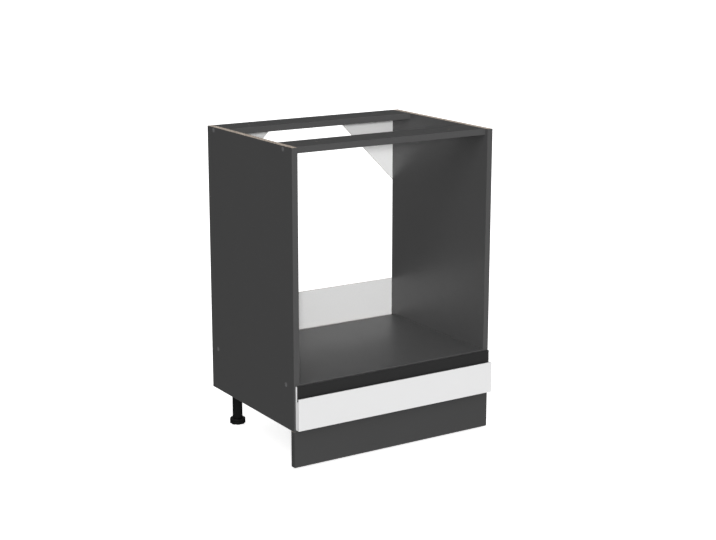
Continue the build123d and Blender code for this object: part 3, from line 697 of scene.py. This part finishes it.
# Leg sockets: flange, collar with a rounded lip, and four ribs between the screws
tube_seat, collar, web, rib_width = 13.55, 17.0, 3.0, 1.6
screw_circle, socket_hole, socket_cut = 24.5, 1.85, 8.0
socket_boxes = solids("leg_sockets")
flange, depth = size_of(socket_boxes[0]).x / 2, size_of(socket_boxes[0]).z
cup = turned([(0, 0), (flange - 0.4, 0), (flange, -0.4), (flange, 1.0 - web),
              (flange - 0.3, 0.3 - web), (flange - 1.0, -web), (collar + 1.2, -web),
              (collar + 0.3, -web - 0.35), (collar, -web - 1.2), (collar, 0.9 - depth),
              (collar - 0.3, 0.25 - depth), (collar - 0.9, -depth), (tube_seat + 0.9, -depth),
              (tube_seat, 0.8 - depth), (tube_seat, -web), (0, -web)], 72)
rib_outline = ((collar - 0.6, 0.2 - web), (flange - 3.5, 0.2 - web), (flange - 3.5, -web - 1.0),
               (collar + 1.6, 2.6 - depth), (collar - 0.6, 2.6 - depth))
ribs, cuts = [], []
for quarter in range(4):
    rib = slab([(x, -rib_width / 2, z) for x, z in rib_outline], (0, rib_width, 0))
    bmesh.ops.rotate(rib, cent=(0, 0, 0), verts=rib.verts,
                     matrix=Matrix.Rotation(full_turn * quarter / 4, 3, "Z"))
    ribs.append(rib)
    angle = full_turn * (quarter + 0.5) / 4
    spot = Vector((math.cos(angle), math.sin(angle), 0.0)) * screw_circle * mm
    cuts.append(drill(socket_hole, socket_cut, at(spot)))
piece("ribbed_leg_sockets", joined(carved(cup, joined(*cuts)), *ribs),
      [at((*middle_of(box).xy, box[1].z)) for box in socket_boxes], "carcass", leg_finish,
      "leg_black", "leg_sockets")

# Cross-recess screws
dome = ((0, 1), (0.45, 0.97), (0.75, 0.80), (0.93, 0.45), (1, 0.12), (0.97, 0))
screw_pitch, tip_length, recess_taper = 1.25, 2.2, 0.62


def cross_screw(head_radius, head_height, thread_radius, length):
    """A raised-head screw; its head sits on Z = 0 and its thread points down. Millimetres."""
    neck, root = thread_radius * 0.9, thread_radius * 0.68
    head = turned([(head_radius * across, head_height * up) for across, up in dome]
                  + [(neck, 0), (neck, -1.0), (0, -1.0)], 32)
    long, narrow, tall = head_radius * 1.15, head_radius * 0.26, head_height * 1.7
    for size in ((narrow, long, tall), (long, narrow, tall)):
        arm = block(size, 0.02, (0, 0, head_height + 0.1), 1)
        for vert in arm.verts:
            if vert.co.z < head_height * mm:
                vert.co.xy *= recess_taper
        head = carved(head, arm)
    thread = threaded(root, thread_radius, screw_pitch, tip_length - length, -0.6, 12)
    shoulder = tip_length + 0.1 - length
    tip = turned([(0, shoulder), (root, shoulder), (root * 0.55, 1.1 - length), (0, -length)], 12)
    return joined(head, thread, tip)


def screw_places(node, heads, sink):
    """Places of a node's screws, each turned a little differently.

    heads is the way that their heads face. A way along X holds on the right of the unit, and
    on the left they face the other way."""
    places = []
    for index, box in enumerate(solids(node)):
        middle = middle_of(box)
        way = -1 if heads[0] and middle.x < 0 else 1
        facing = tuple(part * way for part in heads)
        end = Vector(max(corner[axis] * facing[axis] for corner in box) * facing[axis]
                     if facing[axis] else middle[axis] for axis in range(3))
        places.append(at(end - Vector(facing) * sink, facing, index * 0.7))
    return places


down, rearwards, outwards, inwards = (0, 0, -1), (0, 1, 0), (1, 0, 0), (-1, 0, 0)
for name, node, body, heads, head_radius, head_height, thread_radius, length in (
    ("socket_screws", "leg_socket_screws", "carcass", down, 3.5, 1.5, 1.8, 15.0),
    ("clip_screws", "plinth_clip_screws", "plinth", rearwards, 3.2, 1.4, 1.6, 11.0),
    ("runner_foot_screws", "drawer_runner_screws", "drawer", down, 3.4, 1.2, 1.5, 13.0),
    ("runner_web_screws", "runner_screws", "carcass", inwards, 4.0, 0.6, 3.0, 11.0),
    ("drawer_side_screws", "drawer_back_screws", "drawer", outwards, 5.0, 0.5, 2.6, 49.0),
):
    piece(name, cross_screw(head_radius, head_height, thread_radius, length),
          screw_places(node, heads, head_height * mm), body, screw_finish, "zinc_steel", node)

# Nails of the thin boards, with slightly domed heads
nail_head, nail_shank, nail_length = 1.8, 0.8, 18.0
nail = turned([(0, 0), (nail_head - 0.8, -0.03), (nail_head - 0.2, -0.15), (nail_head, -0.4),
               (nail_head, -0.6), (nail_shank, -0.6), (nail_shank, 1.6 - nail_length),
               (0, -nail_length)], 20)
piece("domed_nails", nail, facing_rear("back_nails", 1), "carcass", screw_finish, "zinc_steel",
      "back_nails")

# Bumpers: soft domes on the back of the drawer front
bumper = turned([(0, 4.7), (1.4, 4.62), (2.6, 4.28), (3.4, 3.65), (3.85, 2.7), (4.0, 1.5),
                 (4.0, 0), (0, 0)], 40)
piece("domed_bumpers", bumper, facing_rear("front_bumpers", 0), "drawer", rubber_finish,
      "bumper_rubber", "front_bumpers")

# Rollers: crowned nylon wheels with a hub and sunk faces, and the rivets they turn on
wheel_bore, hub_radius, face_sink, tyre_width = 3.05, 5.0, 0.9, 2.4
for side in sides:
    for half in ("cabinet", "drawer"):
        node = f"{side}_{half}_roller"
        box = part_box(node)
        rim, flank = size_of(box).z / 2, -size_of(box).x / 2
        section = [(wheel_bore, flank), (hub_radius, flank), (hub_radius + 0.2, flank + face_sink),
                   (rim - tyre_width - 0.2, flank + face_sink), (rim - tyre_width, flank),
                   (rim - 0.7, flank), (rim - 0.2, flank + 0.4), (rim, flank + 1.3)]
        section += [(radius, -height) for radius, height in reversed(section)]
        piece(f"{side}_{half}_wheel", turned(section, 72), [at(middle_of(box), (1, 0, 0))],
              node, nylon_finish, "roller_nylon", node)
rivet_head, rivet_shank = 4.5, 3.0
for half, body, from_inside in (("cabinet", "carcass", True), ("drawer", "drawer", False)):
    node = f"{half}_roller_pins"
    length = size_of(solids(node)[0]).x
    rivet = turned([(0, 0), (2.9, 0), (rivet_head - 0.5, -0.12), (rivet_head, -0.4),
                    (rivet_head, -0.7), (rivet_shank, -0.7), (rivet_shank, 0.3 - length),
                    (rivet_shank - 0.3, -length), (0, -length)], 40)
    piece(f"{half}_roller_rivets", rivet, facing_sideways(node, from_inside), body,
          screw_finish, "zinc_steel", node)

# Runners: folded steel channels, drilled for their screws and rivets. The web of a drawer rail
# lies on the drawer's side, and its upper flange ends in front of its roller
steel, cabinet_fold, drawer_fold = 1.2, 1.7, 1.0
web_screw_hole, foot_screw_hole, rivet_hole, sheet_cut = 4.05, 1.55, 3.05, 4.0
flange_end, notch_depth, notch_height, notch_spare = 149.1, 12.0, 6.0, 2.0
for side, way in zip(sides, (-1, 1)):
    node = f"{side}_cabinet_runner"
    low, high = (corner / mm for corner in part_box(node))
    mouth, wall = sorted((low.x, high.x), key=abs)
    wall -= way * steel / 2
    floor_line, roof_line = low.z + steel / 2, high.z - steel / 2
    channel = bent_sheet([(mouth, floor_line), (wall, floor_line), (wall, roof_line),
                          (mouth, roof_line)], (low.y, high.y), cabinet_fold, steel)
    cuts = drills("runner_screws", way, 0, wall, web_screw_hole, sheet_cut)
    cuts += drills("cabinet_roller_pins", way, 0, wall, rivet_hole, sheet_cut)
    piece(f"{side}_cabinet_channel", carved(channel, joined(*cuts)), [Matrix()], "carcass",
          runner_finish, "runner_steel", node)

    node = f"{side}_drawer_runner"
    low, high = (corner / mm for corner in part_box(node))
    foot_edge, flange_edge = sorted((low.x, high.x), key=abs)
    drawer_face = max(abs(corner.x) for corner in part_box(f"{side}_drawer_side")) / mm
    wall = way * (drawer_face + steel / 2)
    floor_line, roof_line = low.z + steel / 2, high.z - steel / 2
    rail = bent_sheet([(foot_edge, floor_line), (wall, floor_line), (wall, roof_line),
                       (flange_edge, roof_line)], (low.y, high.y), drawer_fold, steel)
    notch = block((notch_depth, high.y - flange_end + notch_spare, notch_height), 0.01,
                  (wall + way * (notch_depth + steel) / 2,
                   (high.y + flange_end + notch_spare) / 2, high.z), 1)
    cuts = drills("drawer_roller_pins", way, 0, wall, rivet_hole, sheet_cut)
    cuts += drills("drawer_runner_screws", way, 2, floor_line, foot_screw_hole, sheet_cut)
    piece(f"{side}_drawer_rail", carved(rail, notch, joined(*cuts)), [Matrix()], "drawer",
          runner_finish, "runner_steel", node)

# Plinth clips: a plate and two rounded arms with small ribs
clip_plate, clip_arm, arm_gap, clip_rib = 3.0, 3.0, 13.8, 2.4
clip_hole, clip_cut = 1.65, 5.0
rib_root, rib_edge = arm_gap + clip_arm - 0.5, 21.0
clip_rib_outline = ((rib_root, 1.5), (rib_edge, 1.5), (rib_edge, 4.0), (rib_root + 1.2, 14.0),
                    (rib_root, 14.0))
for side in sides:
    node = f"{side}_plinth_clip"
    low, high = (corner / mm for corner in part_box(node))
    size, middle = high - low, middle_of((low, high))
    clip = block((size.x, clip_plate, size.z), 0.8,
                 (middle.x, low.y + clip_plate / 2, middle.z), 3)
    for way in (-1, 1):
        arm = block((clip_arm, size.y, size.z), 0.9,
                    (middle.x + way * (arm_gap + clip_arm / 2), low.y + size.y / 2, middle.z), 3)
        rib = slab([(middle.x + way * x, low.y + y, middle.z - clip_rib / 2)
                    for x, y in clip_rib_outline], (0, 0, clip_rib))
        clip = carved(clip, arm, rib, operation="UNION")
    cuts = drills("plinth_clip_screws", middle.x, 1, low.y, clip_hole, clip_cut)
    piece(f"{side}_moulded_clip", carved(clip, joined(*cuts)), [Matrix()], "plinth", leg_finish,
          "leg_black", node)


# Pieces that keep their CAD shape

def dress(finish, *names):
    """Give CAD nodes a finish."""
    for name in names:
        nodes[name].data.materials.clear()
        nodes[name].data.materials.append(finish)


def dress_board(node, axis, tone, look, bare=None):
    """Give a board its own melamine finish. A look is its spread, shine and pearl."""
    dress(faced_board(node, axis, tone, *look, bare), node)


carcass_look, drawer_look = (0.05, 0.40, 1300.0), (0.02, 0.45, 900.0)
for side in sides:
    dress_board(f"{side}_side_panel", "x", anthracite, carcass_look)
for node in ("bottom_panel", "front_top_rail", "rear_top_rail"):
    dress_board(node, "z", anthracite, carcass_look)
# The shelf's lighter copy of the melamine tone is painted light
dress_board("oven_shelf", "z", shelf_anthracite_painted_light, carcass_look)
# The plinth's darker copy of the melamine tone is painted shade
dress_board("plinth_board", "y", plinth_anthracite_painted_shade, carcass_look,
            [("z", 1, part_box("plinth_board")[1].z)])
for side in sides:
    low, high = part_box(f"{side}_drawer_side")
    dress_board(f"{side}_drawer_side", "x", drawer_white, drawer_look,
                [("z", -1, low.z), ("y", 1, high.y)])
dress_board("drawer_back", "y", drawer_white, drawer_look,
            [("z", -1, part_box("drawer_back")[0].z)])
for node, axis, way in (("back_strip", "y", 1), ("left_corner_plate", "y", 1),
                        ("right_corner_plate", "y", 1), ("drawer_bottom", "z", -1)):
    dress(hardboard(node, axis, way), node)
dress(edge_strip(), "side_edging_strips", "rail_edging_strips", "shelf_edging_strip",
      "bottom_edging_strip")
dress(white_gloss(), "drawer_front")
dress(black_lining(), "grip_lining")
dress(screw_finish, "carcass_screws", "drawer_cam_bolts", "cam_bolts")
dress(cam_finish, "cam_locks", "drawer_cam_locks")
dress(beech_wood(), "wooden_dowels")


# Floor, light and camera

def pale_floor():
    """A plain matt floor for every view, which glows a little so that shadows stay faint."""
    finish = Finish("pale_floor", Specular_IOR_Level=0.2,
                    Emission_Color=(1.0, 1.0, 1.0, 1.0), Emission_Strength=0.7)
    finish.colour(finish.shaded(finish.noise(3.0, 2.0, 0.5), (0.93, 0.93, 0.93), 0.01))
    finish.rough(0.75 + 0.05 * finish.noise(40.0, 2.0, 0.5))
    mesh = bmesh.new()
    bmesh.ops.create_grid(mesh, x_segments=1, y_segments=1, size=120.0)
    data = bpy.data.meshes.new("floor")
    mesh.to_mesh(data)
    mesh.free()
    data.materials.append(finish.material)
    floor = bpy.data.objects.new("floor", data)
    bpy.context.scene.collection.objects.link(floor)
    floor.visible_glossy = False
    floor.visible_diffuse = False


def soft_sun(name, azimuth, elevation, spread, strength, mirrored=False, only=()):
    """An even light: azimuth 0 is the front, -90 the left. Angles in degrees."""
    around, up = math.radians(azimuth), math.radians(elevation)
    source = Vector((math.sin(around) * math.cos(up), -math.cos(around) * math.cos(up),
                     math.sin(up)))
    data = bpy.data.lights.new(name, "SUN")
    data.angle = math.radians(spread)
    data.energy = strength
    lamp = bpy.data.objects.new(name, data)
    lamp.visible_glossy = mirrored
    lamp.rotation_euler = source.to_track_quat("Z", "Y").to_euler()
    bpy.context.scene.collection.objects.link(lamp)
    if only:
        lit = bpy.data.collections.new(f"lit_by_{name}")
        for item in only:
            lit.objects.link(bpy.data.objects[item])
        lamp.light_linking.receiver_collection = lit


pale_floor()
soft_sun("camera_side_light", -29.5, 10.0, 5.0, 1.85)
soft_sun("front_light", -30.0, 40.0, 40.0, 0.55, mirrored=True)
soft_sun("back_light", 150.0, 30.0, 50.0, 0.7)
soft_sun("niche_light", -52.0, 28.0, 40.0, 0.75,
         only=("right_side_panel", "oven_shelf", "right_corner_plate"))

# A white studio, lighter overhead, of which glossy surfaces mirror only the light ceiling
wall_light, ceiling_light = 0.47, 0.16
mirrored_wall, mirrored_ceiling = 0.03, 0.75
ceiling_start, ceiling_full = 0.42, 0.95
world = bpy.data.worlds.new("white_studio")
bpy.context.scene.world = world
studio = Nodes(world)
sky = studio.tree.nodes["Background"]
sky.inputs["Color"].default_value = (1.0, 1.0, 1.0, 1.0)
direction = studio.node("ShaderNodeTexCoord", output="Generated")
height = studio.node("ShaderNodeSeparateXYZ", {}, {0: direction}, output="Z")
overhead = studio.smooth(height, ceiling_start, ceiling_full)
glossy = studio.node("ShaderNodeLightPath", output="Is Glossy Ray")
seen = studio.node("ShaderNodeLightPath", output="Is Camera Ray")
strength = ((wall_light + ceiling_light * overhead) * (1 - glossy)
            + (mirrored_wall + mirrored_ceiling * overhead) * glossy)
strength = strength * (1 - seen) + seen
studio.tree.links.new(strength.socket, sky.inputs["Strength"])
bpy.context.scene.view_settings.view_transform = "Standard"
bpy.context.scene.view_settings.look = "None"

# The camera sees the unit as the photograph does, tilted down and without a shift
camera_data = bpy.data.cameras.new("photo_view")
camera_data.sensor_width = 36.0
camera_data.lens = 76.6632
camera_data.clip_end = 60.0
camera = bpy.data.objects.new("photo_view", camera_data)
turn, tilt, roll = (math.radians(angle) for angle in (-32.426, 13.690, 0.064))
aim = (Matrix.Rotation(turn, 4, "Z") @ Matrix.Rotation(math.pi / 2 - tilt, 4, "X")
       @ Matrix.Rotation(roll, 4, "Z"))
camera.matrix_world = Matrix.Translation((-2.09698, -3.33564, 1.39433)) @ aim
bpy.context.scene.collection.objects.link(camera)
bpy.context.scene.camera = camera

bpy.context.view_layer.update()
